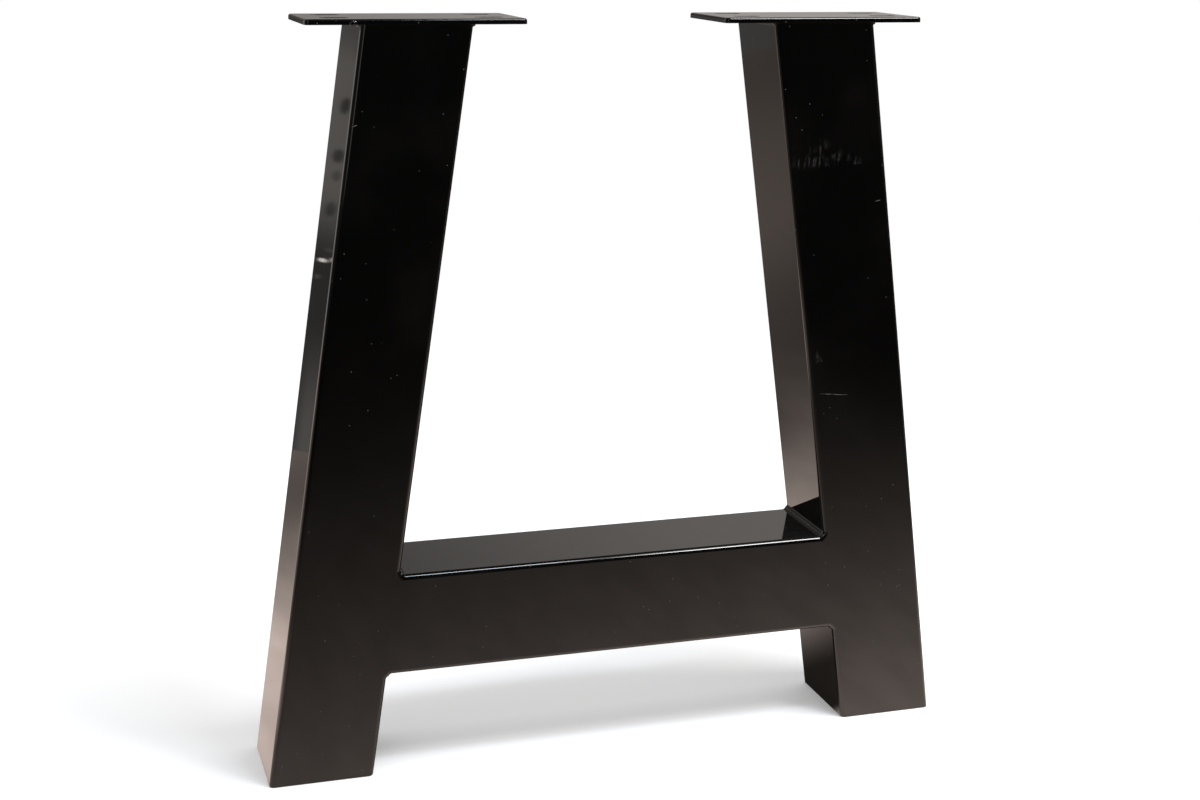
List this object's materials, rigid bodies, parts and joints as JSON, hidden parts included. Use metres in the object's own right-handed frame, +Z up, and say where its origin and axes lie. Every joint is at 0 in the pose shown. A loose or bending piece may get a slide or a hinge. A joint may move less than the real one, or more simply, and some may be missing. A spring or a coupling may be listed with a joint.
{
  "type": "table frame",
  "caption": "Welded table leg frame of gloss black square steel tube: legs leaning together, a low cross rail between them and slotted plates on top for a table top.",
  "frame": {"origin": "on the floor, midway between the feet and in the middle of the tube's depth", "axes": "+X across the frame from the left leg to the right leg, +Y through the tube's depth away from the viewer, +Z up"},
  "size_m": [0.7, 0.1, 0.72],
  "materials": {
    "tube": "gloss black lacquer",
    "plate": "gloss black lacquer",
    "weld": "gloss black lacquer over a weld bead",
    "cap": "gloss black lacquer"
  },
  "bodies": {
    "root": {"cross_rail": "tube", "left_leg": "tube", "left_foot_cap": "cap", "left_top_plate": "plate", "left_rail_weld": "weld", "left_plate_weld_outer": "weld", "left_plate_weld_inner": "weld", "right_leg": "tube", "right_foot_cap": "cap", "right_top_plate": "plate", "right_rail_weld": "weld", "right_plate_weld_outer": "weld", "right_plate_weld_inner": "weld"}
  },
  "joints": []
}
